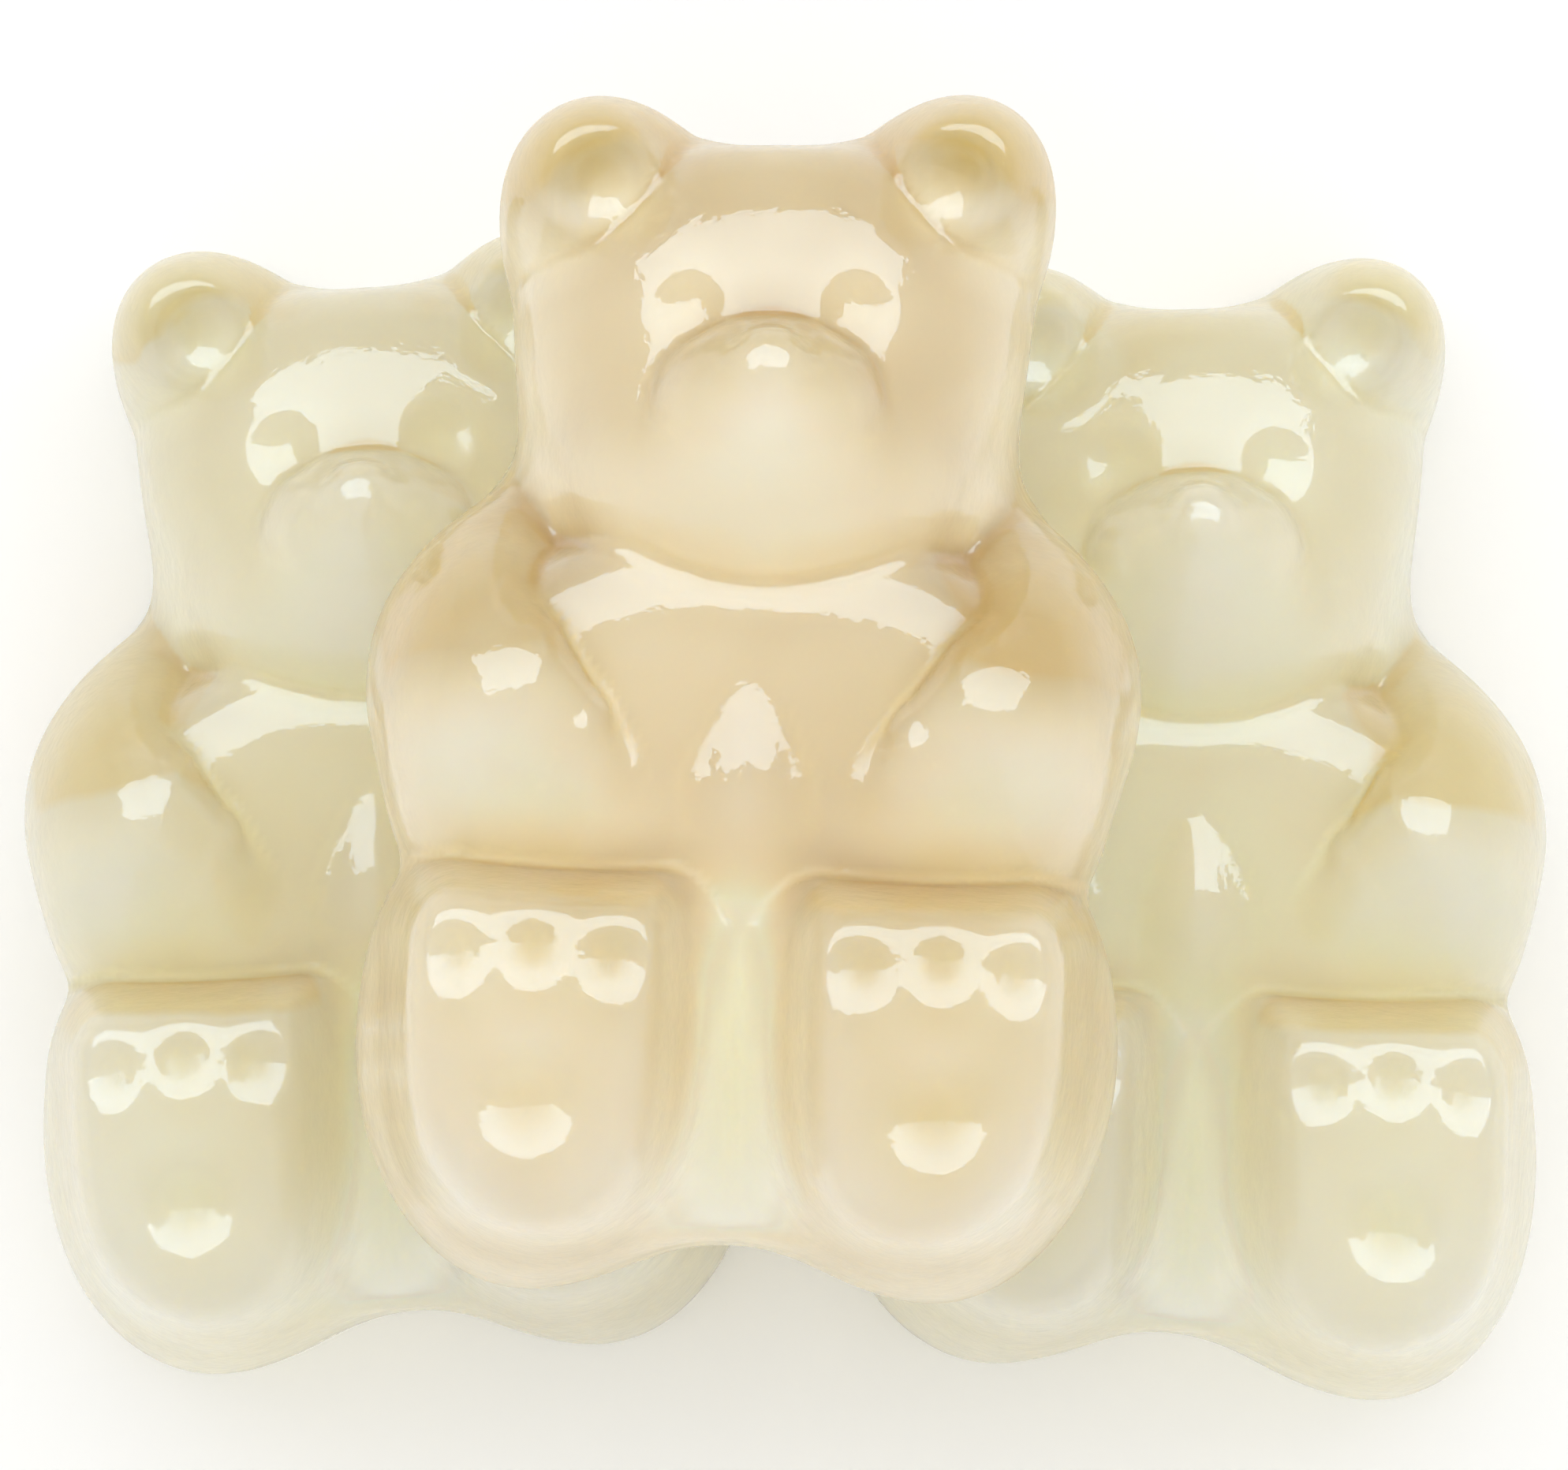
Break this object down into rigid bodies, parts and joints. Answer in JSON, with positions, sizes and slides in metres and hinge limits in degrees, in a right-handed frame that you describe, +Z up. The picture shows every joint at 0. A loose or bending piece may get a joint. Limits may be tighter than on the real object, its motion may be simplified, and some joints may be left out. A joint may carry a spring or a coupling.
{
  "type": "gummy bears",
  "caption": "Small heap of moulded bear-shaped gummy sweets, cloudy pale yellow and glossy, lying on their flat backs, to eat or to set out as food.",
  "frame": {"origin": "middle of the base of the heap's bounding box, on the surface that the lower bears lie on", "axes": "+X to the side across the two lower bears, towards the right one as seen from their feet; +Y from the feet towards the ears; +Z up, away from the flat backs"},
  "size_m": [0.031, 0.0252, 0.0187],
  "materials": {
    "gel_front": "cloudy translucent gelatine, warm pale yellow, polished and very glossy",
    "gel_left": "cloudy translucent gelatine, pale cream yellow, polished and very glossy",
    "gel_right": "cloudy translucent gelatine, pale cream yellow, polished and very glossy"
  },
  "bodies": {
    "root": {"bear_front": "gel_front", "bear_left": "gel_left", "bear_right": "gel_right"}
  },
  "joints": []
}
